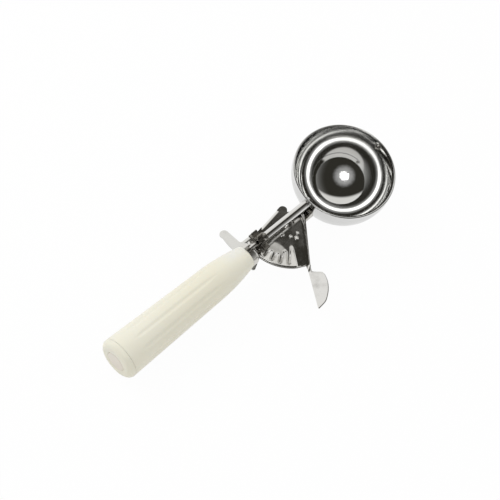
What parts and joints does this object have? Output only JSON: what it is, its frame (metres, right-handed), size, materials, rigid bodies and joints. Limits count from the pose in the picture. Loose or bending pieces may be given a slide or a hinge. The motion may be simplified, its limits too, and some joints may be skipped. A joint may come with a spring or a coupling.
{
  "type": "ice cream scoop",
  "caption": "Lever ice cream scoop: a sprung thumb lever with a toothed sector turns a pinion and rod that sweep a scraper round the bowl.",
  "frame": {"origin": "middle of the flat plug in the handle's butt face", "axes": "+X runs along the handle from its butt to the bowl, +Z points out of the bowl's mouth, and the thumb tab is on the -Y side"},
  "size_m": [0.2322, 0.0901, 0.0415],
  "materials": {
    "ivory_plastic": "moulded, satin gloss, ivory",
    "plug_plastic": "moulded, satin gloss, warm ivory",
    "polished_steel": "mirror polished stainless steel",
    "pressed_steel": "pressed and tumbled stainless steel",
    "lever_steel": "stamped and polished stainless steel",
    "tube_steel": "drawn and polished tube and rod",
    "gear_steel": "machined steel",
    "rivet_steel": "headed steel",
    "bearing_brass": "turned brass",
    "spring_steel": "drawn spring wire"
  },
  "bodies": {
    "scoop": {"handle_body": "ivory_plastic", "handle_end_cap": "ivory_plastic", "butt_plug": "plug_plastic", "ferrule": "polished_steel", "rod_bearing": "gear_steel", "frame_channel": "pressed_steel", "tube_saddle": "pressed_steel", "saddle_rivets": "rivet_steel", "bowl": "polished_steel", "rod_bush": "polished_steel", "shank_tube": "tube_steel", "far_pivot_pin": "rivet_steel", "far_pivot_washer": "rivet_steel", "lever_stud": "rivet_steel", "stud_washer": "rivet_steel", "spring_bush": "bearing_brass", "return_spring": "spring_steel", "spring_post": "rivet_steel", "finger_rest": "pressed_steel", "finger_rest_rivets": "rivet_steel"},
    "lever": {"thumb_lever": "lever_steel"},
    "scraper": {"scraper_rod": "tube_steel", "pinion": "gear_steel", "pinion_pin": "rivet_steel", "pinion_collar": "gear_steel", "scraper_blade": "polished_steel", "blade_hub": "rivet_steel"}
  },
  "joints": [
    {"name": "lever_pivot", "type": "hinge", "parent": "scoop", "child": "lever", "pos_m": [0.15, 0.001, -0.002], "axis": [0, 0, -1], "range_deg": [0, 42], "stiffness_Nm_per_rad": 0.25, "springref_deg": -34.38, "deforming": ["return_spring"]},
    {"name": "scraper_spin", "type": "hinge", "parent": "scoop", "child": "scraper", "pos_m": [0.198, 0.001, 0.006], "axis": [1, 0, 0], "range_deg": [0, 175]}
  ],
  "couplings": [
    {"joint": "scraper_spin", "follows": "lever_pivot", "ratio": 4.1667}
  ]
}
